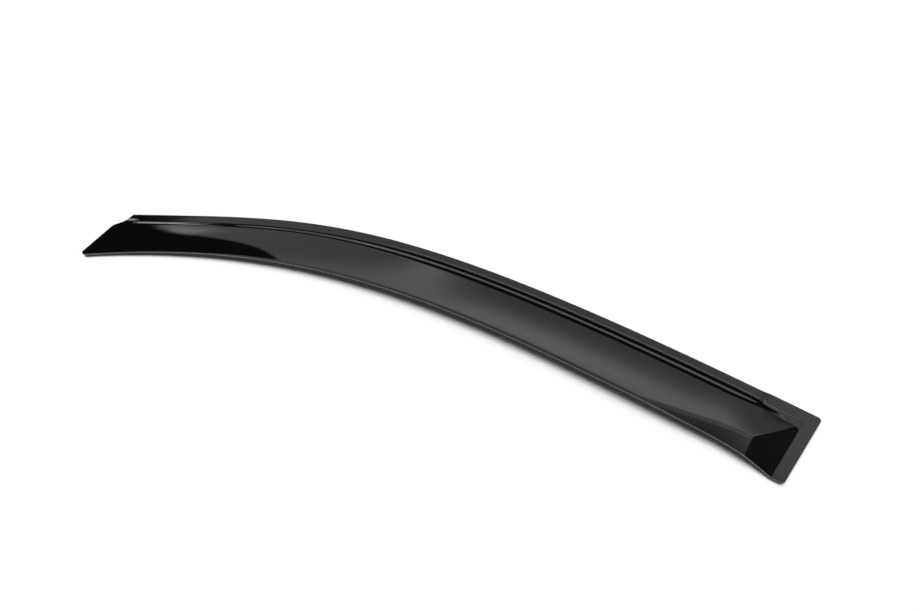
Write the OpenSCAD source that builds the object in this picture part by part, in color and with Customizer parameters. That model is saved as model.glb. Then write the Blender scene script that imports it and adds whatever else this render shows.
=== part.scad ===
// Window rain deflector for the right front door of a car.
// A smoked acrylic sheet, moulded with a flat flange along its top edge and a flat pad at each end,
// stands off the window in an open channel. Foam tape and its release film lie under the flange
// and the pads. The part lies as it rests on a table, its face up.

/* [Plan] */
// Straight distance between the two ends of the top edge
chord_l = 900; // [800:5:1000]
// Slope of the top edge at its front end, in degrees
top_front_angle = 15.2; // [12:0.2:18]
// Slope of the top edge at its rear end, in degrees
top_rear_angle = 11.8; // [9:0.2:14]
// How far the front slope carries into the top edge
top_front_reach = 270; // [240:5:300]
// How far the rear slope carries into the top edge
top_rear_reach = 555; // [500:5:590]
// Length of the front end edge, from the top edge to the tip
front_end_l = 84.3; // [78:0.1:92]
// Backward lean of the front end edge, in degrees
front_lean = 19.4; // [12:0.1:24]
// Length of the rear end edge
rear_end_l = 83.1; // [78:0.1:92]
// Backward lean of the rear end edge, in degrees
rear_lean = 19.3; // [12:0.1:24]
// Slope of the free edge at the front tip, in degrees
edge_front_angle = 21; // [18:0.2:24]
// Slope of the free edge before its rear tail, in degrees
edge_rear_angle = 9.3; // [7:0.1:12]
// How far the front slope carries into the free edge
edge_front_reach = 382; // [350:5:410]
// How far the rear slope carries into the free edge
edge_rear_reach = 305; // [280:5:330]
// Length of the rear tail, where the free edge turns down to its corner
tail_l = 71; // [50:1:90]
// Drop of the free edge over the tail
tail_drop = 9.1; // [6:0.1:14]
// Length of the free edge behind the tail, along the rear pad
tail_flat = 12; // [8:0.5:16]
// How far the front pad stands forward of the flange end
ear = 8.8; // [5:0.1:11]
// Distance from the top edge to the pad's shoulder, along the front end
ear_from = 13.1; // [11:0.1:16]
// Length of that shoulder
ear_run = 16; // [12:0.5:20]
// How far the pad's offset carries into the sheet
ear_fade = 30; // [24:1:40]
// Corner radius at the front end of the top edge
top_front_r = 3; // [2:0.5:4]
// Corner radius at the front tip
tip_r = 4; // [3:0.5:5]
// Corner radius at the rear end of the top edge
top_rear_r = 3; // [2:0.5:5]
// Corner radius at the rear end of the free edge
heel_r = 4; // [3:0.5:6]

/* [Section] */
// Thickness of the sheet
wall = 2.8; // [2:0.1:3.5]
// Distance from the top edge to the middle of the step's foot
foot_d = 12.7; // [12:0.1:15]
// Steepness of the step between flange and face, in degrees
step_angle = 34; // [28:1:38]
// Distance from the top edge to the crest of the step
crest_d = 22; // [21:0.5:24]
// Height of the crest over the flange
crest_h = 6.4; // [5:0.1:7.5]
// Height of the free edge over the flange
edge_h = 15.2; // [12:0.2:20]
// Softness of the hollow at the foot of the step
foot_blend = 3; // [2:0.1:3.2]
// Softness of the crest
crest_blend = 2.3; // [1:0.1:2.6]
// How hollow the face is at the front end, as a share of its rise across the sheet
bow_front = 1.2; // [0:0.05:1.5]
// How hollow the face is along the rest; a crown when negative
bow_rear = -0.1; // [-0.4:0.05:0.4]
// Distance over which the one turns into the other
bow_run = 520; // [300:10:700]
// Width of the curl along the free edge
curl_w = 3; // [2:0.5:6]
// Drop of the free edge over the curl
curl_h = 0.7; // [0.3:0.1:1.5]
// Roundness of the sheet's cut edges
rim = 0.6; // [0.2:0.1:1]

/* [Ends] */
// How far both end pads stand over the flange
pad_h = 1.6; // [1:0.1:3]
// Width of the flat pad at each end
pad_w = 12.3; // [11:0.1:15]
// Distance over which the free edge rises from the front pad
front_run = 460; // [350:10:600]
// How the rise slows down: 1 is a straight rise, 2 a rise that flattens out
rise_power = 1.33; // [1:0.01:2]
// Distance from the front end at which the crest begins to rise
crest_from = 35; // [20:1:60]
// Distance over which the crest rises
crest_run = 350; // [250:10:450]
// How far the step stands nearer the top edge at the front end
joggle = 4.5; // [3:0.5:6]
// Distance from the front end at which the step goes back
joggle_at = 11; // [8:0.5:14]
// Length over which it goes back
joggle_run = 6; // [4:0.5:10]
// Length of the rear pad along the top edge
rear_pad_l = 52; // [45:1:60]
// Length of the ramp from the flange up to the rear pad
ramp_l = 9; // [6:0.5:14]
// Steepness of the wall that closes the rear end, in degrees
end_angle = 13.2; // [11:0.2:16]
// Softness of the folds at the rear end
fold_blend = 0.3; // [0.2:0.1:1]
// Softness of the inner corner between the step and that wall
corner_blend = 1.5; // [0.8:0.1:2.2]
// Drop of the crest towards the rear pad
rear_crest = 4; // [3:0.1:4.4]
// Distance over which the crest drops
rear_crest_run = 80; // [60:5:120]
// Drop of the free edge towards the rear pad
rear_rise = 1.5; // [0:0.1:3]
// Distance over which the free edge drops
rear_rise_run = 120; // [80:5:160]
// Slope of the turned-down lip in front of the rear wall, in degrees
lip_angle = 11; // [6:0.5:16]
// Width of the lip where it meets the rear wall
lip_w = 21; // [12:0.5:26]
// Length of the lip along the free edge
lip_l = 112; // [80:1:130]
// How far the lip runs ahead of the pad, as a share of its width
lip_back = 1.7; // [1.4:0.1:2]

/* [Tape] */
// Thickness of the foam tape
tape_t = 1; // [0.8:0.1:1.6]
// Thickness of the tape's release film
film_t = 0.2; // [0.1:0.05:0.4]
// Width of the tape under the flange
tape_w = 6.4; // [5:0.1:7]
// Width of the tape under the end pads
pad_tape_w = 8.4; // [6:0.1:9]
// Distance from the tape to the sheet's edge
tape_inset = 1; // [0.6:0.1:1.4]

/* [Hidden] */

smoke = [0.07, 0.05, 0.055];
foam = [0.22, 0.22, 0.23];
film = [0.62, 0.07, 0.06];

// Number of rows along the sheet and of columns across its face
mid_rows = 62;
front_rows = 12;
rear_rows = 22;
step_cols = 9;
face_cols = 8;
corner_rows = 5;
tape_steps = 48;
probe = 0.25;

// Softness of the lip's fold, least share of the step's softness, height over which the inner corner
// gets sharp, and height over which the step's foot turns into the rear wall's
lip_blend = 2;
least_blend = 0.15;
corner_h = 3;
near_step = 6;

under_h = film_t + tape_t;
flange_h = under_h + wall;

// Corners of the plan: both ends of the top edge, the front tip and the rear heel
function heading(angle) = [cos(angle), sin(angle)];
front_dir = heading(-90 - front_lean);
rear_dir = heading(-90 - rear_lean);
top_front = [0, 0];
top_rear = [chord_l, 0];
tip = top_front + front_end_l * front_dir - [ear, 0];
heel = top_rear + rear_end_l * rear_dir;
tail_top = heel + [0, tail_drop];

top_curve = [
    top_front,
    top_front + top_front_reach * heading(top_front_angle),
    top_rear - top_rear_reach * heading(-top_rear_angle),
    top_rear
];
edge_curve = [
    tip,
    tip + edge_front_reach * heading(edge_front_angle),
    tail_top - edge_rear_reach * heading(-edge_rear_angle),
    tail_top
];

// Small maths
function mix(a, b, t) = a + (b - a) * t;
function clamp01(t) = max(0, min(1, t));
function ease(t) = let (c = clamp01(t)) c * c * (3 - 2 * c);
function soft_min(a, b, k) =
    let (h = clamp01(0.5 + (b - a) / (2 * k))) mix(b, a, h) - k * h * (1 - h);
function soft_max(a, b, k) = -soft_min(-a, -b, k);
function turn(a, b) = a.x * b.y - a.y * b.x;
function unit(v) = v / norm(v);

// Point of a four-point curve, and the point of it at a given x
function curve_point(p, t) =
    pow(1 - t, 3) * p[0] + 3 * pow(1 - t, 2) * t * p[1] + 3 * (1 - t) * t * t * p[2] + pow(t, 3) * p[3];
function curve_at(p, x, low = 0, high = 1, left = 24) =
    let (t = (low + high) / 2, q = curve_point(p, t))
    left == 0 ? q : q.x < x ? curve_at(p, x, t, high, left - 1) : curve_at(p, x, low, t, left - 1);

function top_point(u) = curve_at(top_curve, mix(top_front.x, top_rear.x, u));
function edge_point(u) =
    let (x = mix(tip.x, heel.x, u), sag = clamp01((x - heel.x + tail_flat) / tail_l + 1))
    curve_at(edge_curve, x) - [0, tail_drop * sag * sag];

// Inward normal of the top edge
function top_normal(u) =
    let (step = 0.002, t = unit(top_point(min(1, u + step)) - top_point(max(0, u - step)))) [t.y, -t.x];

// Distances of a point from the two end edges
function from_front(p) = turn(front_dir, p - top_front);
function from_rear(p) = turn(p - top_rear, rear_dir);

// Height of the outer skin over the flange. d is the distance from the top edge, w the full width there.
function crest_z(front, rear) =
    mix(pad_h, crest_h, ease((front - crest_from) / crest_run))
        - rear_crest * ease(1 - (rear - pad_w) / rear_crest_run);
function face_z(front, rear, d, w) =
    let (rise = 1 - pow(1 - clamp01((front - pad_w) / front_run), rise_power),
         edge = mix(pad_h, edge_h, rise) - rear_rise * ease(1 - (rear - pad_w) / rear_rise_run),
         bow = mix(bow_front, bow_rear, ease((front - pad_w) / bow_run)),
         share = (d - crest_d) / (w - crest_d),
         curl = clamp01((d - w) / curl_w + 1))
    mix(crest_z(front, rear), edge, share + bow * (share * share - share)) - curl_h * rise * curl * curl;
function lip_z(rear, d, w) =
    let (fold = lip_w * (1 - (rear - pad_w - lip_w * lip_back) / lip_l))
    tan(lip_angle) * soft_max(0, d - w + fold, lip_blend);
function skin_z(front, rear, d, w) =
    let (level = pad_h * ease((rear_pad_l + ramp_l - rear) / ramp_l),
         foot = foot_d - joggle * (1 - ease((front - joggle_at) / joggle_run)),
         step = tan(step_angle) * (d - foot),
         close = pad_h + tan(end_angle) * (rear - pad_w),
         face = face_z(front, rear, d, w) - lip_z(rear, d, w),
         share = max(least_blend, min(1, (crest_z(front, rear) - level) / crest_h)),
         inner = soft_min(step, face, crest_blend * share),
         fold = mix(corner_blend, fold_blend, clamp01((inner - level) / corner_h)),
         blend = mix(fold_blend / 2, foot_blend * share, clamp01((close - step) / near_step + 0.5)))
    soft_max(level, soft_min(inner, close, fold), blend);

// Distance that a rounded corner takes off a row which lies e from the end edge
function corner_cut(e, r, angle) =
    let (x = max(0, e))
    x >= r * (1 + cos(angle)) ? 0
        : r / tan(angle / 2) - sqrt(max(0, r * r - pow(r - x, 2))) - x / tan(angle);
function corner_angle(a, b) = acos(unit(a) * unit(b));

top_front_c = corner_angle(heading(top_front_angle), front_dir);
tip_c = corner_angle(heading(edge_front_angle), -front_dir);
top_rear_c = corner_angle(-heading(-top_rear_angle), rear_dir);
heel_c = corner_angle(edge_point(0.99) - heel, -rear_dir);

// Places of the rows along the sheet: close together at the corners and at the rear end
corner_span = 1.7 * max(tip_r, heel_r) / chord_l;
front_span = 1.6 * (joggle_at + joggle_run) / chord_l;
rear_span = (rear_pad_l + 2 * ramp_l) / chord_l;
row_places = concat(
    [for (i = [0 : corner_rows - 1]) corner_span * (1 - cos(90 * i / corner_rows))],
    [for (i = [0 : front_rows - 1]) mix(corner_span, front_span, i / front_rows)],
    [for (i = [0 : mid_rows - 1]) mix(front_span, 1 - rear_span, pow(i / mid_rows, 1.1))],
    [for (i = [0 : rear_rows - 1]) mix(1 - rear_span, 1 - corner_span, i / rear_rows)],
    [for (i = [0 : corner_rows]) 1 - corner_span * (1 - sin(90 * i / corner_rows))]
);

// Places of the columns across a row of width w: flange, step, face and curl
function col_places(w) =
    let (step_from = foot_d - joggle - 1.5, step_to = crest_d + 3, face_to = w - curl_w)
    concat(
        [0, step_from / 2],
        [for (i = [0 : step_cols - 1]) mix(step_from, step_to, i / step_cols)],
        [for (i = [0 : face_cols - 1]) mix(step_to, face_to, i / face_cols)],
        [face_to, mix(face_to, w, 0.6), w]
    );

// One row: [x, y, top z, bottom z] of each point
function sheet_row(u) =
    let (a = top_point(u), b = edge_point(u), n = top_normal(u), along = unit(b - a), l = norm(b - a),
         w = (b - a) * n, t = [-n.y, n.x],
         cut_a = corner_cut(from_front(a), top_front_r, top_front_c)
             + corner_cut(from_rear(a), top_rear_r, top_rear_c),
         cut_b = corner_cut(from_front(b) + ear, tip_r, tip_c) + corner_cut(from_rear(b), heel_r, heel_c),
         near_front = 1 - ease(from_front(a) / ear_fade))
    [for (c = col_places(w))
        let (s = mix(cut_a, l - cut_b, c / w),
             bulge = ear * near_front * (ease((s - ear_from) / ear_run) - s / l),
             p = a + s * along - [bulge, 0],
             d = (p - a) * n, f = from_front(p), r = from_rear(p),
             z = skin_z(f, r, d, w),
             across = (skin_z(f, r, d + probe, w) - skin_z(f, r, d - probe, w)) / (2 * probe),
             fq = from_front(p + probe * t) - f, rq = from_rear(p + probe * t) - r,
             lengthwise = (skin_z(f + fq, r + rq, d, w) - skin_z(f - fq, r - rq, d, w)) / (2 * probe),
             under = wall * sqrt(1 + across * across + lengthwise * lengthwise))
        [p.x, p.y, flange_h + z, flange_h + z - under]];

sheet = [for (u = row_places) sheet_row(u)];
rows = len(sheet);
cols = len(sheet[0]);

// Indices of the points round the sheet's outline, anticlockwise from above
outline = concat(
    [for (i = [0 : rows - 1]) [i, cols - 1]],
    [for (j = [cols - 2 : -1 : 0]) [rows - 1, j]],
    [for (i = [rows - 2 : -1 : 0]) [i, 0]],
    [for (j = [1 : cols - 2]) [0, j]]
);
loop_n = len(outline);
function outline_point(k) = let (q = outline[(k + loop_n) % loop_n]) sheet[q[0]][q[1]];
rim_points = [for (k = [0 : loop_n - 1])
    let (a = outline_point(k - 1), b = outline_point(k + 1), q = outline_point(k),
         t = unit([b.x - a.x, b.y - a.y]))
    [q.x + rim * t.y, q.y - rim * t.x, (q[2] + q[3]) / 2]];

low = [min([for (q = rim_points) q.x]), min([for (q = rim_points) q.y])];
high = [max([for (q = rim_points) q.x]), max([for (q = rim_points) q.y])];
middle = (low + high) / 2;

module from_middle() {
    translate([-middle.x, -middle.y, 0]) children();
}

// The moulded sheet: outer skin, inner skin and rounded rim as one closed solid
module shield() {
    grid_n = rows * cols;
    function top_i(i, j) = i * cols + j;
    function low_i(i, j) = grid_n + i * cols + j;
    function ring_top(k) = let (q = outline[k % loop_n]) top_i(q[0], q[1]);
    function ring_low(k) = let (q = outline[k % loop_n]) low_i(q[0], q[1]);
    function ring_rim(k) = 2 * grid_n + k % loop_n;
    points = concat(
        [for (row = sheet) for (q = row) [q.x, q.y, q[2]]],
        [for (row = sheet) for (q = row) [q.x, q.y, q[3]]],
        rim_points
    );
    faces = concat(
        [for (i = [0 : rows - 2]) for (j = [0 : cols - 2]) each [
            [top_i(i, j), top_i(i + 1, j), top_i(i + 1, j + 1)],
            [top_i(i, j), top_i(i + 1, j + 1), top_i(i, j + 1)],
            [low_i(i, j), low_i(i + 1, j + 1), low_i(i + 1, j)],
            [low_i(i, j), low_i(i, j + 1), low_i(i + 1, j + 1)]]],
        [for (k = [0 : loop_n - 1]) each [
            [ring_top(k), ring_top(k + 1), ring_rim(k + 1)],
            [ring_top(k), ring_rim(k + 1), ring_rim(k)],
            [ring_rim(k), ring_rim(k + 1), ring_low(k + 1)],
            [ring_rim(k), ring_low(k + 1), ring_low(k)]]]
    );
    color(smoke) from_middle() polyhedron(points, faces);
}

// Outline of a strip that follows the top edge
function top_line(u_from, u_to, d) =
    [for (i = [0 : tape_steps])
        let (u = mix(u_from, u_to, i / tape_steps)) top_point(u) + d * top_normal(u)];
function top_strip(u_from, u_to, d_from, d_to) =
    concat(top_line(u_from, u_to, d_from), top_line(u_to, u_from, d_to));

// Outline of a straight strip along an end edge, from s_from to s_to down that edge
function end_strip(corner, along, inward, s_from, s_to, offset) = [
    corner + s_from * along + offset * inward,
    corner + s_to * along + offset * inward,
    corner + s_to * along + (offset + pad_tape_w) * inward,
    corner + s_from * along + (offset + pad_tape_w) * inward
];

top_tape_from = (joggle_at + joggle_run) / chord_l;
top_tape_to = 1 - (rear_pad_l + 1.5 * ramp_l) / chord_l;
top_tape = top_strip(top_tape_from, top_tape_to, tape_inset, tape_inset + tape_w);
front_tape = end_strip(top_front - [ear, 0], front_dir, [-front_dir.y, front_dir.x],
    ear_from + ear_run + tape_inset, front_end_l - 3 * tip_r, tape_inset);
rear_tape = end_strip(top_rear, rear_dir, [rear_dir.y, -rear_dir.x],
    top_rear_r, rear_end_l - heel_r, tape_inset);

module strip(outline_points, base, thickness) {
    from_middle() translate([0, 0, base]) linear_extrude(thickness) polygon(outline_points);
}

// Foam tape under the flange and under both pads
module tape_top() { color(foam) strip(top_tape, film_t, tape_t); }
module tape_front() { color(foam) strip(front_tape, film_t + pad_h, tape_t); }
module tape_rear() { color(foam) strip(rear_tape, film_t + pad_h, tape_t); }

// Release film on each tape
module film_top() { color(film) strip(top_tape, 0, film_t); }
module film_front() { color(film) strip(front_tape, pad_h, film_t); }
module film_rear() { color(film) strip(rear_tape, pad_h, film_t); }

shield();
tape_top();
tape_front();
tape_rear();
film_top();
film_front();
film_rear();
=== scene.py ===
"""Window rain deflector: the smooth moulded sheet, its taped back and the studio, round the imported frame.

Sizes are in millimetres, as in the part's own source, and each mesh is turned into metres when it is
made. Plan points are complex numbers: the real part runs along the chord, the imaginary part across it.
"""

import logging
import math
from dataclasses import dataclass, field
from enum import Enum
from typing import Any

import bpy
import numpy as np
from mathutils import Matrix, Vector


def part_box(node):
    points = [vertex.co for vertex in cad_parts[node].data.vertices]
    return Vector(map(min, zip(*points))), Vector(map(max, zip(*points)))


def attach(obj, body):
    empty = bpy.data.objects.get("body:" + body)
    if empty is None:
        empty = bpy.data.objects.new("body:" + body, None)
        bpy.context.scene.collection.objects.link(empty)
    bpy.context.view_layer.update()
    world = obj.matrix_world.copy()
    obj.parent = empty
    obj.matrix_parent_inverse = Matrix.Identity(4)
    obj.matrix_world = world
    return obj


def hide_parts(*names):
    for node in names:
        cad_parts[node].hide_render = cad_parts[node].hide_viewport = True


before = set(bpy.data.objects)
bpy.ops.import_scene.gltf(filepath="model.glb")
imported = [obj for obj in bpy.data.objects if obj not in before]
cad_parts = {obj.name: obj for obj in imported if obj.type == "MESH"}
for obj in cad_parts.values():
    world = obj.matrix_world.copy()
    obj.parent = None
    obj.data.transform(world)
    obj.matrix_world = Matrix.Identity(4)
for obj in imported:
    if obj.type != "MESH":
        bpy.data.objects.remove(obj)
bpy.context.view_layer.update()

MM = 0.001
log = logging.getLogger("deflector")


# Small maths on arrays

def mix(a: Any, b: Any, t: Any) -> Any:
    """Value between a and b at share t."""
    return a + (b - a) * t


def ease(t: Any) -> Any:
    """Smooth ramp from 0 to 1 while t goes from 0 to 1."""
    c = np.clip(t, 0.0, 1.0)
    return c * c * (3.0 - 2.0 * c)


def soft_min(a: Any, b: Any, k: Any) -> Any:
    """Lower of a and b, with the crease rounded over a height k."""
    h = np.clip(0.5 + (b - a) / (2.0 * k), 0.0, 1.0)
    return mix(b, a, h) - k * h * (1.0 - h)


def soft_max(a: Any, b: Any, k: Any) -> Any:
    """Higher of a and b, with the crease rounded over a height k."""
    return -soft_min(-a, -b, k)


def grade(angle: float) -> float:
    """Rise per millimetre of a slope at an angle in degrees."""
    return math.tan(math.radians(angle))


def heading(angle: float) -> complex:
    """Unit plan vector at an angle in degrees."""
    return complex(math.cos(math.radians(angle)), math.sin(math.radians(angle)))


def unit(v: Any) -> Any:
    """Plan vector of length 1 along v."""
    return v / np.abs(v)


def dot(a: Any, b: Any) -> Any:
    """Dot product of two plan vectors."""
    return a.real * b.real + a.imag * b.imag


def turn(a: Any, b: Any) -> Any:
    """Cross product of two plan vectors."""
    return a.real * b.imag - a.imag * b.real


def corner_angle(a: complex, b: complex) -> float:
    """Angle between two plan vectors, in radians."""
    return math.acos(dot(unit(a), unit(b)))


def corner_cut(from_end: np.ndarray, radius: float, angle: float) -> np.ndarray:
    """Length that a rounded corner takes off each row.

    Args:
        from_end: Distance of each row from the end edge.
        radius: Radius of the corner.
        angle: Angle of the corner, in radians.

    Returns:
        The length taken off, per row.
    """
    x = np.maximum(from_end, 0.0)
    arc = np.sqrt(np.maximum(radius ** 2 - (radius - x) ** 2, 0.0))
    cut = radius / math.tan(angle / 2.0) - arc - x / math.tan(angle)
    return np.where(x >= radius * (1.0 + math.cos(angle)), 0.0, cut)


@dataclass(frozen=True)
class Curve:
    """Plan curve through two end points, shaped by two handles."""

    start: complex
    start_handle: complex
    end_handle: complex
    end: complex
    halvings: int = 40

    def point(self, t: np.ndarray) -> np.ndarray:
        """Point of the curve at parameter t."""
        s = 1.0 - t
        near = s ** 3 * self.start + 3.0 * s ** 2 * t * self.start_handle
        return near + 3.0 * s * t ** 2 * self.end_handle + t ** 3 * self.end

    def at(self, x: np.ndarray) -> np.ndarray:
        """Finds the points of the curve at given places, by halving.

        Args:
            x: Distance of each point along the chord.

        Returns:
            The points.
        """
        low = np.zeros_like(x)
        high = np.ones_like(x)
        for _ in range(self.halvings):
            t = (low + high) / 2.0
            before = self.point(t).real < x
            low = np.where(before, t, low)
            high = np.where(before, high, t)
        return self.point((low + high) / 2.0)


@dataclass(frozen=True)
class Plan:
    """Outline of the sheet as seen from above.

    The top edge runs from the front end to the rear end; angles and leans are in degrees. The ear is the
    front pad's shoulder, and the tail is the end of the free edge, which drops to the heel.
    """

    chord_l: float = 900.0
    top_front_angle: float = 15.2
    top_rear_angle: float = 11.8
    top_front_reach: float = 270.0
    top_rear_reach: float = 555.0
    front_end_l: float = 84.3
    front_lean: float = 19.4
    rear_end_l: float = 83.1
    rear_lean: float = 19.3
    edge_front_angle: float = 21.0
    edge_rear_angle: float = 9.3
    edge_front_reach: float = 382.0
    edge_rear_reach: float = 305.0
    tail_l: float = 71.0
    tail_drop: float = 9.1
    tail_flat: float = 12.0
    ear: float = 8.8
    ear_from: float = 13.1
    ear_run: float = 16.0
    ear_fade: float = 30.0
    top_front_r: float = 3.0
    tip_r: float = 4.0
    top_rear_r: float = 3.0
    heel_r: float = 4.0
    normal_step: float = 0.002
    heel_probe: float = 0.99

    @property
    def front_dir(self) -> complex:
        """Direction of the front end edge, away from the top edge."""
        return heading(-90.0 - self.front_lean)

    @property
    def rear_dir(self) -> complex:
        """Direction of the rear end edge, away from the top edge."""
        return heading(-90.0 - self.rear_lean)

    @property
    def tip(self) -> complex:
        """Front corner of the free edge."""
        return self.front_end_l * self.front_dir - self.ear

    @property
    def heel(self) -> complex:
        """Rear corner of the free edge."""
        return self.chord_l + self.rear_end_l * self.rear_dir

    def top_point(self, u: np.ndarray) -> np.ndarray:
        """Finds points of the top edge.

        Args:
            u: Share of the chord at each point.

        Returns:
            The points.
        """
        rear = complex(self.chord_l, 0.0)
        curve = Curve(
            0j,
            self.top_front_reach * heading(self.top_front_angle),
            rear - self.top_rear_reach * heading(-self.top_rear_angle),
            rear,
        )
        return curve.at(self.chord_l * u)

    def edge_point(self, u: np.ndarray) -> np.ndarray:
        """Finds points of the free edge.

        Args:
            u: Share of the edge's length along the chord at each point.

        Returns:
            The points.
        """
        tail_top = self.heel + complex(0.0, self.tail_drop)
        curve = Curve(
            self.tip,
            self.tip + self.edge_front_reach * heading(self.edge_front_angle),
            tail_top - self.edge_rear_reach * heading(-self.edge_rear_angle),
            tail_top,
        )
        x = mix(self.tip.real, self.heel.real, u)
        sag = np.clip((x - self.heel.real + self.tail_flat) / self.tail_l + 1.0, 0.0, 1.0)
        return curve.at(x) - 1j * self.tail_drop * sag * sag

    def bulge(self, top: np.ndarray, s: np.ndarray, length: np.ndarray) -> np.ndarray:
        """How far the front pad's shoulder stands forward of the straight front end.

        Args:
            top: Points of the top edge, one per row.
            s: Distance of each point from the top edge, along its row.
            length: Length of each row.

        Returns:
            The offset of each point, against the chord.
        """
        near_front = 1.0 - ease(self.from_front(top) / self.ear_fade)
        return self.ear * near_front * (ease((s - self.ear_from) / self.ear_run) - s / length)

    def top_normal(self, u: np.ndarray) -> np.ndarray:
        """Unit vector from the top edge into the sheet, at share u of the chord."""
        ahead = self.top_point(np.minimum(u + self.normal_step, 1.0))
        behind = self.top_point(np.maximum(u - self.normal_step, 0.0))
        return unit(ahead - behind) * -1j

    def from_front(self, p: Any) -> Any:
        """Distance of a plan point from the front end edge."""
        return turn(self.front_dir, p)

    def from_rear(self, p: Any) -> Any:
        """Distance of a plan point from the rear end edge."""
        return turn(p - self.chord_l, self.rear_dir)


@dataclass(frozen=True)
class Spots:
    """Places on the sheet: how far each lies from both ends and the top edge, and the width there."""

    front: np.ndarray
    rear: np.ndarray
    d: np.ndarray
    width: np.ndarray

    def moved(self, front: Any, rear: Any, d: Any) -> "Spots":
        """The same places, moved by given distances."""
        return Spots(self.front + front, self.rear + rear, self.d + d, self.width)


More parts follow.
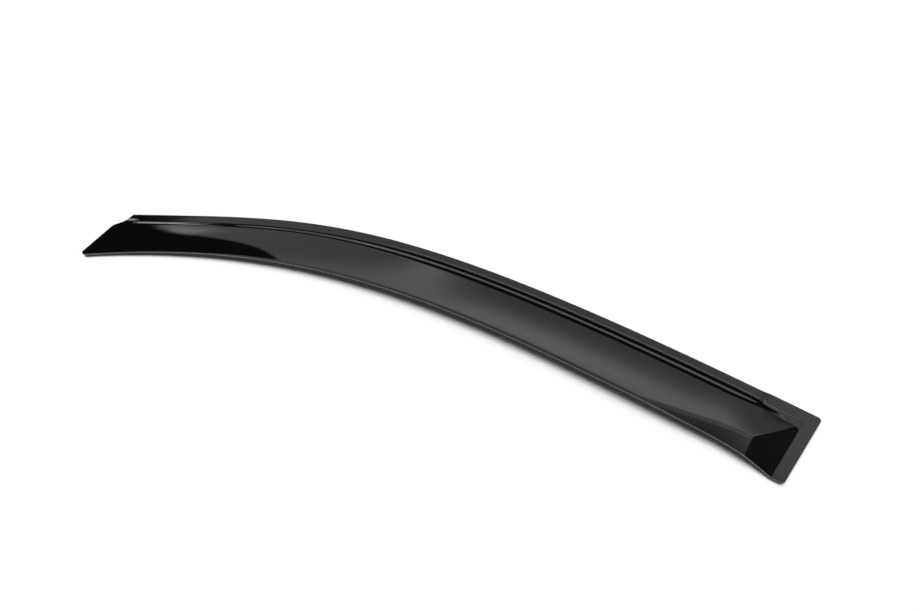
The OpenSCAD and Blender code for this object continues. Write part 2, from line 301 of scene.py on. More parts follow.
@dataclass(frozen=True)
class Relief:
    """Heights of the outer skin over the flange: step, face, curl, pads, rear wall and lip.

    A name in _d is a distance from the top edge, _w a width, _l a length, _h a height, _angle a slope in
    degrees and _blend the softness of a fold. What changes along the sheet has a _from, the distance
    from its end at which the change starts, and a _run, the length that it takes.
    """

    foot_d: float = 12.3
    step_angle: float = 37.0
    crest_d: float = 22.0
    crest_h: float = 6.4
    crest_from: float = 35.0
    crest_run: float = 350.0
    edge_h: float = 15.2
    front_run: float = 460.0
    rise_power: float = 1.33
    foot_blend: float = 2.3
    crest_blend: float = 2.3
    crest_sharpening: float = 0.4
    sharpen_from: float = 380.0
    sharpen_run: float = 350.0
    least_blend: float = 0.85
    least_fillet: float = 0.9
    lead_angle: float = 7.3
    lead_w: float = 4.5
    lead_cap: float = 4.5
    lead_from: float = 200.0
    lead_run: float = 180.0
    heel_foot: float = 1.5
    heel_run: float = 60.0
    shelf_h: float = 0.36
    shelf_w: float = 4.4
    shelf_d: float = 12.0
    shelf_corner: float = 6.0
    shelf_l: float = 56.0
    shelf_reach: float = 30.0
    flange_lean: float = 2.5
    lean_from: float = 70.0
    lean_run: float = 90.0
    bow_front: float = 1.2
    bow_rear: float = -0.1
    bow_run: float = 520.0
    curl_w: float = 3.0
    curl_h: float = 0.7
    curl_fade: float = 110.0
    pad_h: float = 1.6
    pad_w: float = 12.3
    joggle: float = 4.5
    joggle_at: float = 11.0
    joggle_run: float = 6.0
    rear_pad_l: float = 52.0
    ramp_l: float = 9.0
    rear_crest: float = 4.0
    rear_crest_run: float = 80.0
    rear_rise: float = 1.5
    rear_rise_run: float = 120.0
    end_angle: float = 14.2
    fold_blend: float = 0.3
    corner_blend: float = 1.5
    corner_h: float = 3.0
    near_step: float = 3.0
    lip_angle: float = 11.0
    lip_w: float = 21.0
    lip_l: float = 112.0
    lip_back: float = 1.7
    lip_blend: float = 2.0

    def crest(self, at: Spots) -> np.ndarray:
        """Height of the step's crest, which falls off to the pads at both ends."""
        full = mix(self.pad_h, self.crest_h, ease((at.front - self.crest_from) / self.crest_run))
        return full - self.rear_crest * ease(1.0 - (at.rear - self.pad_w) / self.rear_crest_run)

    def face(self, at: Spots) -> np.ndarray:
        """Height of the face, with the curl along its free edge.

        Args:
            at: Places on the sheet.

        Returns:
            The height over the flange.
        """
        rise = 1.0 - (1.0 - np.clip((at.front - self.pad_w) / self.front_run, 0.0, 1.0)) ** self.rise_power
        drop = self.rear_rise * ease(1.0 - (at.rear - self.pad_w) / self.rear_rise_run)
        edge = mix(self.pad_h, self.edge_h, rise) - drop
        bow = mix(self.bow_front, self.bow_rear, ease((at.front - self.pad_w) / self.bow_run))
        share = (at.d - self.crest_d) / (at.width - self.crest_d)
        curl = np.clip((at.d - at.width) / self.curl_w + 1.0, 0.0, 1.0)
        across = mix(self.crest(at), edge, share + bow * (share * share - share))
        faded = ease((at.rear - self.lip_l) / self.curl_fade)
        return across - self.curl_h * rise * faded * curl * curl

    def lip(self, at: Spots) -> np.ndarray:
        """How far the lip before the rear wall lies under the face."""
        fold = self.lip_w * (1.0 - (at.rear - self.pad_w - self.lip_w * self.lip_back) / self.lip_l)
        return grade(self.lip_angle) * soft_max(0.0 * at.d, at.d - at.width + fold, self.lip_blend)

    def foot(self, at: Spots, heel: np.ndarray) -> np.ndarray:
        """Distance of the step's foot from the top edge."""
        joggle = self.joggle * (1.0 - ease((at.front - self.joggle_at) / self.joggle_run))
        return self.foot_d - joggle + self.heel_foot * heel

    def shelf(self, at: Spots) -> np.ndarray:
        """Height of the shelf that follows the inner border of the rear pad round its corner."""
        inside = soft_min(at.d - self.shelf_d, at.rear - self.pad_w, self.shelf_corner)
        reach = ease((self.shelf_reach - at.d) / self.pad_w)
        return self.shelf_h * ease(inside / self.shelf_w + 0.5) * reach

    def parts(self, at: Spots) -> tuple[np.ndarray, np.ndarray, np.ndarray]:
        """Works out the two forms that meet at the step's foot.

        Args:
            at: Places on the sheet.

        Returns:
            Height of the flat flange, height of the body, and the softness of the fold between them.
        """
        level = self.pad_h * ease((self.rear_pad_l + self.ramp_l - at.rear) / self.ramp_l)
        height = np.clip((self.crest(at) - level) / self.crest_h, 0.0, 1.0)
        heel = ease(1.0 - (at.rear - self.pad_w) / self.heel_run)
        past_foot = at.d - self.foot(at, heel)
        step = grade(self.step_angle) * past_foot
        close = self.pad_h + grade(self.end_angle) * (at.rear - self.pad_w)
        near_step = np.clip((close - step) / self.near_step + 0.5, 0.0, 1.0)
        face = self.face(at) - self.lip(at)
        sharpening = self.crest_sharpening * ease((at.front - self.sharpen_from) / self.sharpen_run)
        crest_size = mix(np.maximum(height, self.least_blend), height, heel)
        crest_fold = (self.crest_blend - sharpening) * crest_size
        inner = soft_min(step, face, np.maximum(crest_fold, self.fold_blend))
        over_level = np.clip((inner - level) / self.corner_h, 0.0, 1.0)
        body = soft_min(inner, close, mix(self.corner_blend, self.fold_blend, over_level))
        fillet = self.foot_blend * mix(np.maximum(height, self.least_fillet), height, heel)
        blend = mix(self.fold_blend / 2.0, np.maximum(fillet, self.fold_blend), near_step)
        at_shelf = ease((self.shelf_l - at.rear) / self.ramp_l)
        share = ease((at.front - self.lead_from) / self.lead_run) * (1.0 - at_shelf)
        lead = grade(self.lead_angle) * np.maximum(past_foot + self.lead_w, 0.0)
        level = level + np.minimum(lead, self.lead_cap) * share * near_step
        return level + self.shelf(at) * at_shelf, body, blend

    def lean(self, at: Spots) -> np.ndarray:
        """How far the front of the flange swells towards the step, on its outer side alone."""
        share = 1.0 - ease((at.front - self.lean_from) / self.lean_run)
        return grade(self.flange_lean) * share * np.minimum(at.d, self.foot_d)

    def skin(self, at: Spots) -> np.ndarray:
        """Height of the outer skin over the flange."""
        return soft_max(*self.parts(at))


# Shader building

class Wire:
    """Output of a shader node that takes part in arithmetic."""

    def __init__(self, graph: "Graph", socket: bpy.types.NodeSocket) -> None:
        """Keeps the socket and the graph that it belongs to."""
        self.graph = graph
        self.socket = socket

    def _math(self, operation: str, first: Any, second: Any) -> "Wire":
        """Adds a Math node on two values."""
        return self.graph.node("Math", {"operation": operation}, {0: first, 1: second})["Value"]

    def __add__(self, other: Any) -> "Wire":
        """Sum."""
        return self._math("ADD", self, other)

    def __radd__(self, other: Any) -> "Wire":
        """Sum, reflected."""
        return self._math("ADD", other, self)

    def __sub__(self, other: Any) -> "Wire":
        """Difference."""
        return self._math("SUBTRACT", self, other)

    def __rsub__(self, other: Any) -> "Wire":
        """Difference, reflected."""
        return self._math("SUBTRACT", other, self)

    def __mul__(self, other: Any) -> "Wire":
        """Product."""
        return self._math("MULTIPLY", self, other)

    def __rmul__(self, other: Any) -> "Wire":
        """Product, reflected."""
        return self._math("MULTIPLY", other, self)

    def __truediv__(self, other: Any) -> "Wire":
        """Quotient."""
        return self._math("DIVIDE", self, other)

    def __rtruediv__(self, other: Any) -> "Wire":
        """Quotient, reflected."""
        return self._math("DIVIDE", other, self)

    def above(self, other: Any) -> "Wire":
        """Higher of this value and another."""
        return self._math("MAXIMUM", self, other)

    def bell(self) -> "Wire":
        """Bell curve, 1 where this value is 0, with the value as a squared distance."""
        return self.graph.node("Math", {"operation": "EXPONENT"}, {0: 0.0 - self})["Value"]

    def smooth(self, low: float, high: float) -> "Wire":
        """Smooth ramp on this value.

        Args:
            low: Value at which the ramp is 0; it may be the larger of the two.
            high: Value at which the ramp is 1.

        Returns:
            The ramp, from 0 to 1.
        """
        settings = {"interpolation_type": "SMOOTHSTEP"}
        if low > high:
            return 1.0 - self.smooth(high, low)
        limits = {"Value": self, "From Min": low, "From Max": high}
        return self.graph.node("MapRange", settings, limits)["Result"]


class Made:
    """A node that was added to a graph; indexing it gives one of its outputs."""

    def __init__(self, graph: "Graph", node: bpy.types.Node) -> None:
        """Keeps the node and its graph."""
        self.graph = graph
        self.node = node

    def __getitem__(self, name: str) -> Wire:
        """Output of that name which is in use."""
        found = [s for s in self.node.outputs if s.name == name and s.enabled]
        return Wire(self.graph, found[0])


class Graph:
    """Node tree that is filled by expressions."""

    def __init__(self, tree: bpy.types.NodeTree) -> None:
        """Empties the node tree of a material or of the world."""
        self.tree = tree
        self.tree.nodes.clear()

    def node(
        self, kind: str, settings: dict[str, Any] | None = None, values: dict[Any, Any] | None = None
    ) -> Made:
        """Adds a node, sets it, and fills its inputs.

        Args:
            kind: Type name of the node, after ShaderNode.
            settings: Attributes to set first.
            values: Value or wire of each input, by name or by index.

        Returns:
            The node, to take outputs from.
        """
        made = self.tree.nodes.new(f"ShaderNode{kind}")
        for name, value in (settings or {}).items():
            setattr(made, name, value)
        for name, value in (values or {}).items():
            self._feed(self._input(made, name), value)
        return Made(self, made)

    @staticmethod
    def _input(node: bpy.types.Node, name: Any) -> bpy.types.NodeSocket:
        """Input of a node by index, or by name among those in use."""
        if isinstance(name, int):
            return node.inputs[name]
        return [s for s in node.inputs if s.name == name and s.enabled][0]

    def _feed(self, socket: bpy.types.NodeSocket, value: Any) -> None:
        """Links a wire to an input, or writes a number or a colour to it."""
        if isinstance(value, Wire):
            self.tree.links.new(value.socket, socket)
        elif socket.type == "RGBA":
            socket.default_value = (*value, 1.0)
        else:
            socket.default_value = value

    def colour_mix(self, factor: Any, first: Any, second: Any) -> Wire:
        """Blends two colours.

        Args:
            factor: Share of the second colour.
            first: Colour or wire at 0.
            second: Colour or wire at 1.

        Returns:
            The blended colour.
        """
        settings = {"data_type": "RGBA"}
        return self.node("Mix", settings, {"Factor": factor, "A": first, "B": second})["Result"]

    def noise(self, place: Wire, scale: float, detail: float) -> Wire:
        """Noise round 0.5 over the object's own coordinates in metres.

        Args:
            place: Coordinates.
            scale: Cells per metre.
            detail: Octaves.

        Returns:
            The noise value.
        """
        values = {"Vector": place, "Scale": scale, "Detail": detail}
        return self.node("TexNoise", {}, values)["Fac"]

    def bump(self, height: Wire, distance: float) -> Wire:
        """Normal bent by a height.

        Args:
            height: Height from 0 to 1.
            distance: Height in metres where the value is 1.

        Returns:
            The bent normal.
        """
        values = {"Strength": 1.0, "Distance": distance, "Height": height}
        return self.node("Bump", {}, values)["Normal"]


class Finish:
    """Look of one kind of surface. Scales are cells per metre, and depths are in metres."""

    name: str

    def shader(self, g: Graph, place: Wire) -> Wire:
        """Shader over the object's own coordinates."""
        raise NotImplementedError

    def material(self) -> bpy.types.Material:
        """Makes the material.

        Returns:
            The material, with the shader at its output.
        """
        material = bpy.data.materials.new(self.name)
        material.use_nodes = True
        g = Graph(material.node_tree)
        place = g.node("TexCoord")["Object"]
        g.node("OutputMaterial", {}, {"Surface": self.shader(g, place)})
        return material


class Mask(Enum):
    """Point values that the sheet's mesh carries for its finish."""

    FLANGE = "flange"
    CUT_EDGE = "cut_edge"
    # Pale colour painted on the rim's upper rings: a painted highlight along the free edge.
    PAINTED_EDGE_GLOW = "painted_edge_glow"

    def read(self, graph: Graph) -> Wire:
        """Wire that carries the values of this mask."""
        return graph.node("Attribute", {"attribute_name": self.value})["Fac"]


@dataclass(frozen=True)
class SmokedAcrylic(Finish):
    """Polished dark smoked acrylic: glossy face, satin flange, brown-red tint at the cut edge, and a pale
    painted highlight on the rim's upper rings.
    """

    name: str = "smoked_acrylic"
    colour: tuple[float, float, float] = (0.0019, 0.0016, 0.0017)
    edge_colour: tuple[float, float, float] = (0.012, 0.0045, 0.004)
    # Painted highlight: pale colour on the rim's upper rings, standing in for light showing through the cut
    # edge.
    painted_edge_glow_colour: tuple[float, float, float] = (0.22, 0.19, 0.19)
    light_through: tuple[float, float, float] = (1.0, 0.36, 0.32)
    through_share: float = 0.05
    face_roughness: float = 0.02
    flange_roughness: float = 0.07
    edge_roughness: float = 0.12
    ior: float = 1.49
    cloud_scale: float = 14.0
    cloud_detail: float = 4.0
    cloud_haze: float = 0.015
    cloud_height: float = 1.5
    wipe_scale: float = 60.0
    wipe_stretch: tuple[float, float, float] = (1.0, 9.0, 9.0)
    wipe_haze: float = 0.009
    grain_scale: float = 900.0
    fine_detail: float = 3.0
    grain_haze: float = 0.06
    grain_on_flange: float = 0.6
    grain_on_face: float = 0.02
    bump_depth: float = 0.00004

    def shader(self, g: Graph, place: Wire) -> Wire:
        """Shader of the surface."""
        flange = Mask.FLANGE.read(g)
        cut = Mask.CUT_EDGE.read(g)
        cloud = g.noise(place, self.cloud_scale, self.cloud_detail)
        grain = g.noise(place, self.grain_scale, self.fine_detail)
        stretched = g.node("Mapping", {}, {"Vector": place, "Scale": self.wipe_stretch})["Vector"]
        wipes = g.noise(stretched, self.wipe_scale, self.fine_detail)
        satin = flange * (self.flange_roughness - self.face_roughness) + self.face_roughness
        smears = (cloud - 0.5) * self.cloud_haze + (wipes - 0.5) * self.wipe_haze
        hazed = satin + smears + (grain - 0.5) * flange * self.grain_haze
        roughness = hazed + cut * (self.edge_roughness - self.face_roughness)
        grain_height = grain * (flange * self.grain_on_flange + self.grain_on_face)
        normal = g.bump(grain_height + cloud * self.cloud_height, self.bump_depth)
        skin_and_cut = g.colour_mix(cut, self.colour, self.edge_colour)
        # The upper rim rings get a pale painted highlight in the base colour, on top of the cut edge's own
        # tint.
        body = g.node("BsdfPrincipled", {}, {
            "Base Color": g.colour_mix(Mask.PAINTED_EDGE_GLOW.read(g), skin_and_cut, self.painted_edge_glow_colour),
            "Roughness": roughness,
            "IOR": self.ior,
            "Normal": normal,
        })["BSDF"]
        through = g.node("BsdfTransparent", {}, {"Color": self.light_through})["BSDF"]
        return g.node("MixShader", {}, {0: self.through_share, 1: body, 2: through})["Shader"]


@dataclass(frozen=True)
class FoamTape(Finish):
    """Dark grey acrylic foam tape with fine open cells at its cut sides, their pits darkened with painted
    shade.
    """

    name: str = "foam_tape"
    colour: tuple[float, float, float] = (0.040, 0.040, 0.042)
    # Darker colour painted in the cell pits: painted shade.
    cell_pit_shade_colour: tuple[float, float, float] = (0.022, 0.022, 0.024)
    roughness: float = 0.85
    cell_scale: float = 2600.0
    cell_wall_from: float = 0.05
    cell_wall_to: float = 0.5
    cell_depth: float = 0.00015
    patch_scale: float = 120.0
    patch_detail: float = 3.0
    patch_haze: float = 0.15

    def shader(self, g: Graph, place: Wire) -> Wire:
        """Shader of the surface."""
        cells = g.node("TexVoronoi", {}, {"Vector": place, "Scale": self.cell_scale})["Distance"]
        walls = cells.smooth(self.cell_wall_from, self.cell_wall_to)
        patches = g.noise(place, self.patch_scale, self.patch_detail)
        # The pits of the cells, sunk by the bump, are darkened with painted shade.
        return g.node("BsdfPrincipled", {}, {
            "Base Color": g.colour_mix(walls, self.cell_pit_shade_colour, self.colour),
            "Roughness": (patches - 0.5) * self.patch_haze + self.roughness,
            "Normal": g.bump(cells, self.cell_depth),
        })["BSDF"]


@dataclass(frozen=True)
class ReleaseFilm(Finish):
    """Thin red release film with a faint crinkle."""

    name: str = "release_film"
    colour: tuple[float, float, float] = (0.35, 0.015, 0.012)
    worn_colour: tuple[float, float, float] = (0.27, 0.014, 0.012)
    roughness: float = 0.32
    crinkle_scale: float = 70.0
    crinkle_detail: float = 4.0
    crinkle_haze: float = 0.2
    crinkle_depth: float = 0.0004
    worn_from: float = 0.35
    worn_to: float = 0.7
    dust_scale: float = 1400.0
    dust_detail: float = 2.0
    dust_haze: float = 0.1
    dust_height: float = 0.05

    def shader(self, g: Graph, place: Wire) -> Wire:
        """Shader of the surface."""
        crinkle = g.noise(place, self.crinkle_scale, self.crinkle_detail)
        worn = crinkle.smooth(self.worn_from, self.worn_to)
        dust = g.noise(place, self.dust_scale, self.dust_detail)
        haze = (crinkle - 0.5) * self.crinkle_haze + (dust - 0.5) * self.dust_haze
        return g.node("BsdfPrincipled", {}, {
            "Base Color": g.colour_mix(worn, self.colour, self.worn_colour),
            "Roughness": haze + self.roughness,
            "Normal": g.bump(crinkle + dust * self.dust_height, self.crinkle_depth),
        })["BSDF"]


@dataclass(frozen=True)
class PaperFloor(Finish):
    """Matt white studio paper."""

    name: str = "paper_floor"
    colour: tuple[float, float, float] = (0.99, 0.99, 0.99)
    shade: tuple[float, float, float] = (0.975, 0.975, 0.975)
    roughness: float = 0.9
    fibre_scale: float = 400.0
    fibre_detail: float = 3.0
    fibre_haze: float = 0.1

    def shader(self, g: Graph, place: Wire) -> Wire:
        """Shader of the surface."""
        fibres = g.noise(place, self.fibre_scale, self.fibre_detail)
        return g.node("BsdfPrincipled", {}, {
            "Base Color": g.colour_mix(fibres, self.colour, self.shade),
            "Roughness": (fibres - 0.5) * self.fibre_haze + self.roughness,
            "Specular IOR Level": 0.0,
        })["BSDF"]


# The object's pieces

@dataclass
class Skins:
    """Points of the sheet's two skins, in millimetres, and how much each belongs to the flange."""

    outer: np.ndarray
    inner: np.ndarray
    flange: np.ndarray


@dataclass
class Sheet:
    """The moulded sheet: outer skin, inner skin and rounded rim as one closed piece.

    The skins are grids: rows follow one another along the chord, and columns run from the top edge to the
    free edge. The rim's turns are in degrees, and its glow paint says how pale each of its rings is
    painted: a painted highlight on the upper rings that stands in for light showing through the cut
    acrylic.
    """

    plan: Plan = field(default_factory=Plan)
    relief: Relief = field(default_factory=Relief)
    finish: SmokedAcrylic = field(default_factory=SmokedAcrylic)
    wall: float = 2.8
    rim: float = 0.6
    flange_top: float = 4.0
    corner_rows: int = 16
    front_rows: int = 40
    mid_rows: int = 190
    rear_rows: int = 190
    front_zone: float = 40.0
    rear_zone: float = 105.0
    corner_reach: float = 1.7
    flange_cols: int = 5
    step_cols: int = 46
    face_cols: int = 30
    curl_cols: int = 10
    before_step: float = 3.0
    past_step: float = 5.0
    curl_reach: float = 1.4
    probe: float = 0.25
    mask_h: float = 0.8
    rim_turns: tuple[float, ...] = (30.0, 60.0, 90.0)
    # How pale each rim ring is painted: a painted highlight on the upper rings, none on the lower ones.
    rim_glow_paint: tuple[float, ...] = (0.6, 1.0, 0.7, 0.0, 0.0, 0.0)

    def row_places(self) -> np.ndarray:
        """Places the rows along the sheet, closer together at both ends.

        Returns:
            Share of the chord at each row.
        """
        corner = self.corner_reach * max(self.plan.tip_r, self.plan.heel_r) / self.plan.chord_l
        front = self.front_zone / self.plan.chord_l
        rear = 1.0 - self.rear_zone / self.plan.chord_l
        quarter = np.linspace(0.0, math.pi / 2.0, self.corner_rows, endpoint=False)
        return np.concatenate([
            corner * (1.0 - np.cos(quarter)),
            np.linspace(corner, front, self.front_rows, endpoint=False),
            np.linspace(front, rear, self.mid_rows, endpoint=False),
            np.linspace(rear, 1.0 - corner, self.rear_rows, endpoint=False),
            1.0 - corner * (1.0 - np.sin(quarter)),
            [1.0],
        ])

    def column_places(self, width: np.ndarray) -> np.ndarray:
        """Places the columns across each row, closest together over the step and the curl.

        Args:
            width: Width of each row, as a column vector.

        Returns:
            Distance of each point from the top edge, rows by columns.
        """
        step_from = self.relief.foot_d - self.relief.joggle - self.before_step
        step_to = self.relief.crest_d + self.past_step
        flange = np.linspace(0.0, step_from, self.flange_cols, endpoint=False)
        step = np.linspace(step_from, step_to, self.step_cols, endpoint=False)
        share = np.linspace(0.0, 1.0, self.face_cols, endpoint=False)
        curl = np.linspace(0.0, 1.0, self.curl_cols)
        face_to = width - self.curl_reach * self.relief.curl_w
        return np.hstack([
            np.broadcast_to(flange, (len(width), len(flange))),
            np.broadcast_to(step, (len(width), len(step))),
            mix(step_to, face_to, share),
            mix(face_to, width, curl),
        ])

    def skins(self) -> Skins:
        """Works out both skins over the grid of rows and columns.

        Returns:
            The skins, inside the rounded rim.
        """
        plan = self.plan
        u = self.row_places()[:, None]
        top = plan.top_point(u)
        edge = plan.edge_point(u)
        inward = plan.top_normal(u)
        length = np.abs(edge - top)
        along = (edge - top) / length
        width = dot(edge - top, inward)
        front_angle = corner_angle(heading(plan.top_front_angle), plan.front_dir)
        rear_angle = corner_angle(-heading(-plan.top_rear_angle), plan.rear_dir)
        top_cut = corner_cut(plan.from_front(top), plan.top_front_r, front_angle)
        top_cut = top_cut + corner_cut(plan.from_rear(top), plan.top_rear_r, rear_angle)
        tip_angle = corner_angle(heading(plan.edge_front_angle), -plan.front_dir)
        heel_side = complex(plan.edge_point(np.array([plan.heel_probe]))[0]) - plan.heel
        heel_angle = corner_angle(heel_side, -plan.rear_dir)
        edge_cut = corner_cut(plan.from_front(edge) + plan.ear, plan.tip_r, tip_angle)
        edge_cut = edge_cut + corner_cut(plan.from_rear(edge), plan.heel_r, heel_angle)
        columns = self.column_places(width)
        s = mix(top_cut, length - edge_cut, columns / width)
        p = top + s * along - plan.bulge(top, s, length)
        return self._raised(p, dot(p - top, inward), width, inward)

    def _raised(self, p: np.ndarray, d: np.ndarray, width: np.ndarray, inward: np.ndarray) -> Skins:
        """Heights of both skins over plan points.

        Args:
            p: Plan points.
            d: Their distances from the top edge.
            width: Width of each row.
            inward: Inward normal of the top edge at each row.

        Returns:
            Both skins.
        """
        relief = self.relief
        h = self.probe
        at = Spots(self.plan.from_front(p), self.plan.from_rear(p), d, width)
        ahead = p + h * (inward * 1j)
        front_step = self.plan.from_front(ahead) - at.front
        rear_step = self.plan.from_rear(ahead) - at.rear
        level, body, blend = relief.parts(at)
        z = self.flange_top + soft_max(level, body, blend)
        upper = self.flange_top + soft_max(level + relief.lean(at), body, blend)
        across = relief.skin(at.moved(0.0, 0.0, h)) - relief.skin(at.moved(0.0, 0.0, -h))
        along = relief.skin(at.moved(front_step, rear_step, 0.0))
        along = along - relief.skin(at.moved(-front_step, -rear_step, 0.0))
        slope = np.sqrt(1.0 + (across / (2.0 * h)) ** 2 + (along / (2.0 * h)) ** 2)
        low = z - self.wall * slope
        return Skins(
            np.stack([p.real, p.imag, upper], axis=-1),
            np.stack([p.real, p.imag, low], axis=-1),
            ease((level - body) / self.mask_h + 0.5),
        )

    def rim_rings(self, skins: Skins) -> tuple[np.ndarray, np.ndarray]:
        """Rings of points round the cut edge, from the outer skin's border to the inner one's.

        Args:
            skins: Both skins.

        Returns:
            Grid index of each border point, anticlockwise from above, and the rings between the borders.
        """
        rows, cols = skins.outer.shape[:2]
        grid = np.arange(rows * cols).reshape(rows, cols)
        border = np.concatenate([grid[:, -1], grid[-1, -2::-1], grid[-2::-1, 0], grid[0, 1:-1]])
        upper = skins.outer.reshape(-1, 3)[border]
        lower = skins.inner.reshape(-1, 3)[border]
        run = np.roll(upper, -1, axis=0) - np.roll(upper, 1, axis=0)
        out = np.stack([run[:, 1], -run[:, 0]], axis=-1)
        out = out / np.linalg.norm(out, axis=1, keepdims=True)
        turns = np.radians(self.rim_turns)
        rings = [self._ring(upper, out, a, -1.0) for a in turns]
        rings.extend(self._ring(lower, out, a, 1.0) for a in turns[::-1])
        return border, np.array(rings)

    def _ring(self, base: np.ndarray, out: np.ndarray, angle: float, side: float) -> np.ndarray:
        """One ring of the rounded rim.

        Args:
            base: Border of a skin.
            out: Outward direction at each of its points.
            angle: How far round the rim the ring lies, in radians.
            side: 1 from the inner skin upwards, -1 from the outer skin downwards.

        Returns:
            The points of the ring.
        """
        ring = base.copy()
        ring[:, :2] += self.rim * math.sin(angle) * out
        ring[:, 2] += side * self.rim * (1.0 - math.cos(angle))
        return ring

    @staticmethod
    def _seated(co: np.ndarray) -> np.ndarray:
        """Points in metres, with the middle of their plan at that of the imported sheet."""
        co[:, :2] -= (co[:, :2].min(axis=0) + co[:, :2].max(axis=0)) / 2.0
        low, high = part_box("shield")
        centre = (low + high) / 2.0
        return co * MM + np.array([centre.x, centre.y, 0.0])

    @staticmethod
    def _faces(rows: int, cols: int, border: np.ndarray, ring_count: int) -> np.ndarray:
        """Joins both skins and the rings between them into one closed surface.

        Args:
            rows: Rows of each skin.
            cols: Columns of each skin.
            border: Grid index of each border point.
            ring_count: Rings between the two borders.

        Returns:
            The four points of each face.
        """
        count = rows * cols
        grid = np.arange(count).reshape(rows, cols)
        a, b, c, d = grid[:-1, :-1], grid[1:, :-1], grid[1:, 1:], grid[:-1, 1:]
        outer = np.stack([d, c, b, a], axis=-1).reshape(-1, 4)
        inner = count + np.stack([a, b, c, d], axis=-1).reshape(-1, 4)
        between = 2 * count + np.arange(ring_count * len(border)).reshape(ring_count, -1)
        stack = np.vstack([border, between, count + border])
        after = np.roll(stack, -1, axis=1)
        wall = np.stack([stack[:-1], stack[1:], after[1:], after[:-1]], axis=-1).reshape(-1, 4)
        return np.vstack([outer, inner, wall])

    def _mark(self, mesh: bpy.types.Mesh, flange: np.ndarray, loop: int) -> None:
        """Writes the masks of the finish to the mesh.

        Args:
            mesh: Mesh of the sheet.
            flange: How much each point of a skin belongs to the flange.
            loop: Points in each ring of the rim.
        """
        rim_size = loop * len(self.rim_glow_paint)
        skins = np.zeros(2 * flange.size)
        values = {
            Mask.FLANGE: np.concatenate([flange.ravel(), flange.ravel(), np.zeros(rim_size)]),
            Mask.CUT_EDGE: np.concatenate([skins, np.ones(rim_size)]),
            # Pale painted highlight on the rim's upper rings.
            Mask.PAINTED_EDGE_GLOW: np.concatenate([skins, np.repeat(self.rim_glow_paint, loop)]),
        }
        for mask, carried in values.items():
            attribute = mesh.attributes.new(mask.value, "FLOAT", "POINT")
            attribute.data.foreach_set("value", carried.astype(np.float32))

    def build(self) -> bpy.types.Object:
        """Makes the mesh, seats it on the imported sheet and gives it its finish.

        Returns:
            The finished piece.
        """
        skins = self.skins()
        border, rings = self.rim_rings(skins)
        rows, cols = skins.outer.shape[:2]
        co = np.concatenate([part.reshape(-1, 3) for part in (skins.outer, skins.inner, rings)])
        faces = self._faces(rows, cols, border, len(rings))
        mesh = bpy.data.meshes.new("moulded_sheet")
        mesh.from_pydata(self._seated(co).tolist(), [], faces.tolist())
        mesh.update()
        mesh.shade_smooth()
        self._mark(mesh, skins.flange, len(border))
        mesh.materials.append(self.finish.material())
        piece = bpy.data.objects.new("moulded_sheet", mesh)
        bpy.context.scene.collection.objects.link(piece)
        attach(piece, "root")
        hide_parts("shield")
        log.info("moulded sheet: %d rows, %d columns, %d faces", rows, cols, len(mesh.polygons))
        return piece


@dataclass
class TapedBack:
    """Foam tape and release film under the flange and both pads, as packed."""

    tape: FoamTape = field(default_factory=FoamTape)
    film: ReleaseFilm = field(default_factory=ReleaseFilm)
    places: tuple[str, ...] = ("top", "front", "rear")

    def dress(self) -> None:
        """Gives each packed strip its finish."""
        tape = self.tape.material()
        film = self.film.material()
        for place in self.places:
            self._dress_node(f"tape_{place}", tape)
            self._dress_node(f"film_{place}", film)

    @staticmethod
    def _dress_node(name: str, material: bpy.types.Material) -> None:
        """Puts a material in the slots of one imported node."""
        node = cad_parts[name]
        for slot in node.material_slots:
            slot.material = material
        log.info("%s: dressed", name)


# Studio

@dataclass
class Floor:
    """White paper that the part lies on. Its size is in metres."""

    size: float = 24.0
    cells: int = 8
    finish: PaperFloor = field(default_factory=PaperFloor)

    def build(self) -> bpy.types.Object:
        """Makes the floor.

        Returns:
            The floor.
        """
        places = np.linspace(-self.size / 2.0, self.size / 2.0, self.cells + 1)
        co = [(x, y, 0.0) for x in places for y in places]
        side = self.cells + 1
        starts = [i * side + j for i in range(self.cells) for j in range(self.cells)]
        mesh = bpy.data.meshes.new("paper_floor")
        mesh.from_pydata(co, [], [(k, k + side, k + side + 1, k + 1) for k in starts])
        mesh.materials.append(self.finish.material())
        floor = bpy.data.objects.new("paper_floor", mesh)
        bpy.context.scene.collection.objects.link(floor)
        log.info("floor: %.0f m square", self.size)
        return floor


@dataclass(frozen=True)
class Glow:
    """Bright patch in a softbox, where its lamp stands close behind the cloth."""

    x: float
    y: float
    half_x: float
    half_y: float
    level: float

    def over(self, x: Wire, y: Wire) -> Wire:
        """Light that the patch adds at a place."""
        off_x = (x - self.x) / self.half_x
        off_y = (y - self.y) / self.half_y
        return (off_x * off_x + off_y * off_y).bell() * self.level


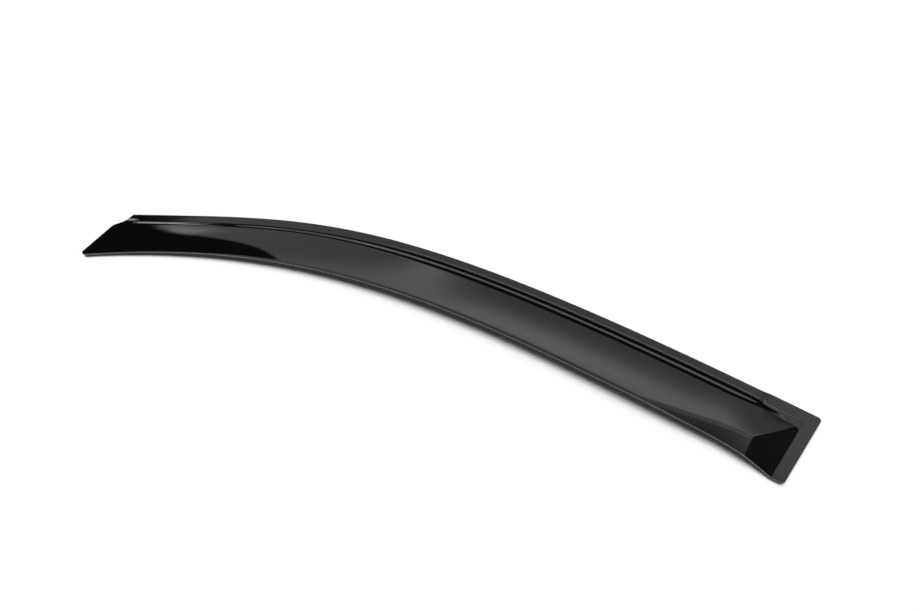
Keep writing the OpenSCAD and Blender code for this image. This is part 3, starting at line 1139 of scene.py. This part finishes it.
@dataclass(frozen=True)
class Softboxes:
    """Light of the room: a long softbox behind the part, a panel beside it, one overhead, dim screens.

    Places are measured on a plane one unit over the part: x along the chord, y towards the flange. The
    horizon is pale. A name in _sine is the height of a direction, and one in _soft half of a soft border.
    """

    room: float = 0.03
    horizon: float = 1.4
    horizon_sine: float = 0.06
    horizon_soft: float = 0.02
    least_sine: float = 0.02
    low_sine: float = 0.05
    clear_sine: float = 0.15
    left: float = -0.96
    left_bend: float = 0.34
    left_bend_end: float = 0.64
    left_lean: float = 0.056
    right: float = 0.70
    far: float = 1.08
    near: float = 0.20
    left_soft: float = 0.02
    right_soft: float = 0.05
    far_soft: float = 0.03
    near_soft: float = 0.12
    slant: float = 0.17
    level: float = 0.93
    level_y: float = 0.6
    falling: float = 0.46
    glows: tuple[Glow, ...] = (
        Glow(0.0, 0.79, 0.80, 0.075, 1.7),
        Glow(-0.94, 0.255, 0.06, 0.06, 1.8),
        Glow(0.42, 0.41, 0.12, 0.12, 0.5),
    )
    spill: Glow = Glow(1.0, 0.4, 0.4, 0.4, 0.10)
    panel: float = 3.0
    panel_left: float = -3.2
    panel_right: float = -0.55
    panel_slant: float = 0.8
    panel_near: float = 1.1
    panel_far: float = 1.9
    panel_right_soft: float = 0.06
    overhead: float = 1.0
    overhead_left: float = -0.85
    overhead_right: float = 0.22
    overhead_out: float = 0.05
    overhead_near: float = -0.1
    overhead_overlap: float = 0.02
    cloth_soft: float = 0.1
    screens: float = 0.15
    screens_from: float = 1.7
    screens_full: float = 2.3
    screens_y_from: float = 0.5
    screens_y_full: float = -0.1

    def behind(self, x: Wire, y: Wire) -> Wire:
        """Light of the long softbox, whose far edge stands at a slant.

        Args:
            x: Place along the chord.
            y: Place towards the flange.

        Returns:
            The light at that place.
        """
        slanted = y + x * self.slant
        level = (self.level_y - slanted) * self.falling + self.level
        for glow in self.glows:
            level = level + glow.over(x, slanted)
        from_left = x + y.smooth(self.left_bend, self.left_bend_end) * self.left_lean
        across = from_left.smooth(self.left - self.left_soft, self.left + self.left_soft)
        across = across * x.smooth(self.right + self.right_soft, self.right - self.right_soft)
        lit = level.above(0.0) * across
        lit = lit * y.smooth(self.near - self.near_soft, self.near + self.near_soft)
        return lit * slanted.smooth(self.far + self.far_soft, self.far - self.far_soft)

    def beside(self, x: Wire, y: Wire) -> Wire:
        """Light of the panel beside the long softbox."""
        soft = self.cloth_soft
        right = self.panel_right
        slanted = x + y * self.panel_slant
        across = slanted.smooth(right + self.panel_right_soft, right - self.panel_right_soft)
        across = across * x.smooth(self.panel_left - soft, self.panel_left + soft)
        across = across * y.smooth(self.panel_near - soft, self.panel_near + soft)
        return across * y.smooth(self.panel_far + soft, self.panel_far - soft) * self.panel

    def above(self, x: Wire, y: Wire) -> Wire:
        """Light of the softbox overhead."""
        soft = self.cloth_soft
        right = self.overhead_right
        across = x.smooth(self.overhead_left - soft, self.overhead_left + soft)
        across = across * x.smooth(right + self.overhead_out, right - soft)
        across = across * y.smooth(self.overhead_near - soft, self.overhead_near + soft)
        return across * y.smooth(self.near + self.overhead_overlap, self.near - soft) * self.overhead

    def around(self, x: Wire, y: Wire) -> Wire:
        """Light of the dim screens round the part."""
        distance = (x * x + y * y).smooth(self.screens_from ** 2, self.screens_full ** 2)
        return distance * y.smooth(self.screens_y_from, self.screens_y_full) * self.screens

    def studio(self, ray: Made, low: Wire) -> Wire:
        """Light of the whole room.

        Args:
            ray: Direction of the light, split into X, Y and Z.
            low: Share of the pale horizon in that direction.

        Returns:
            The light from that direction.
        """
        height = ray["Z"].above(self.least_sine)
        x = ray["X"] / height
        y = ray["Y"] / height
        boxes = self.behind(x, y) + self.beside(x, y) + self.above(x, y) + self.around(x, y)
        boxes = (boxes + self.spill.over(x, y)) * ray["Z"].smooth(self.low_sine, self.clear_sine)
        return boxes + low * (self.horizon - self.room) + self.room

    def light(self) -> None:
        """Gives the scene's world its light, behind a white background."""
        world = bpy.data.worlds.new("studio_light")
        world.use_nodes = True
        bpy.context.scene.world = world
        g = Graph(world.node_tree)
        ray = g.node("SeparateXYZ", {}, {"Vector": g.node("TexCoord")["Generated"]})
        low = ray["Z"].smooth(self.horizon_sine + self.horizon_soft, self.horizon_sine - self.horizon_soft)
        rays = g.node("LightPath")
        seen = rays["Is Camera Ray"] + (rays["Is Glossy Ray"] + rays["Is Transmission Ray"]) * low
        values = {"Factor": seen, "A": self.studio(ray, low), "B": 1.0}
        strength = g.node("Mix", {"data_type": "FLOAT"}, values)["Result"]
        white = {"Color": (1.0, 1.0, 1.0), "Strength": strength}
        lit = g.node("Background", {}, white)["Background"]
        g.node("OutputWorld", {}, {"Surface": lit})
        log.info("studio light: three softboxes, dim screens and a pale horizon")


@dataclass(frozen=True)
class KeyLamp:
    """Broad soft lamp that throws the part's shadow and stands outside every reflection."""

    x: float = -0.14
    y: float = 0.26
    breadth: float = 31.0
    floor_share: float = 0.72

    def build(self) -> bpy.types.Object:
        """Makes the lamp, as strong as the floor needs.

        Returns:
            The lamp.
        """
        to_lamp = Vector((self.x, self.y, 1.0)).normalized()
        data = bpy.data.lights.new("key_lamp", "SUN")
        data.angle = math.radians(self.breadth)
        data.energy = self.floor_share * math.pi / to_lamp.z
        lamp = bpy.data.objects.new("key_lamp", data)
        lamp.rotation_euler = to_lamp.to_track_quat("Z", "Y").to_euler()
        lamp.visible_glossy = False
        bpy.context.scene.collection.objects.link(lamp)
        log.info("key lamp: %.2f of the floor's light", self.floor_share)
        return lamp


@dataclass(frozen=True)
class Viewpoint:
    """Camera at the photograph's angle: place in millimetres, angles in degrees, clipping in metres."""

    place: tuple[float, float, float] = (218.80, -241.66, 627.72)
    heading: float = 32.205
    pitch: float = 64.4215
    roll: float = 13.1369
    focal_px: float = 567.82
    image_w: float = 920.0
    sensor_w: float = 36.0
    clip_start: float = 0.01
    clip_end: float = 100.0

    def build(self) -> bpy.types.Object:
        """Makes the camera and sets it as the scene's own.

        Returns:
            The camera.
        """
        data = bpy.data.cameras.new("photo_camera")
        data.sensor_fit = "HORIZONTAL"
        data.sensor_width = self.sensor_w
        data.lens = self.focal_px * self.sensor_w / self.image_w
        data.clip_start = self.clip_start
        data.clip_end = self.clip_end
        camera = bpy.data.objects.new("photo_camera", data)
        bpy.context.scene.collection.objects.link(camera)
        facing = Matrix.Rotation(math.radians(self.heading), 4, "Z")
        tilt = Matrix.Rotation(math.radians(90.0 - self.pitch), 4, "X")
        lean = Matrix.Rotation(math.radians(-self.roll), 4, "Z")
        camera.matrix_world = Matrix.Translation(Vector(self.place) * MM) @ facing @ tilt @ lean
        bpy.context.scene.camera = camera
        log.info("camera: %.2f mm lens", data.lens)
        return camera


def main() -> None:
    """Builds the part and its studio."""
    logging.basicConfig(level=logging.INFO, format="%(message)s")
    bpy.context.scene.view_settings.view_transform = "Standard"
    Viewpoint().build()
    Sheet().build()
    TapedBack().dress()
    Floor().build()
    Softboxes().light()
    KeyLamp().build()


if __name__ == "__main__":
    main()
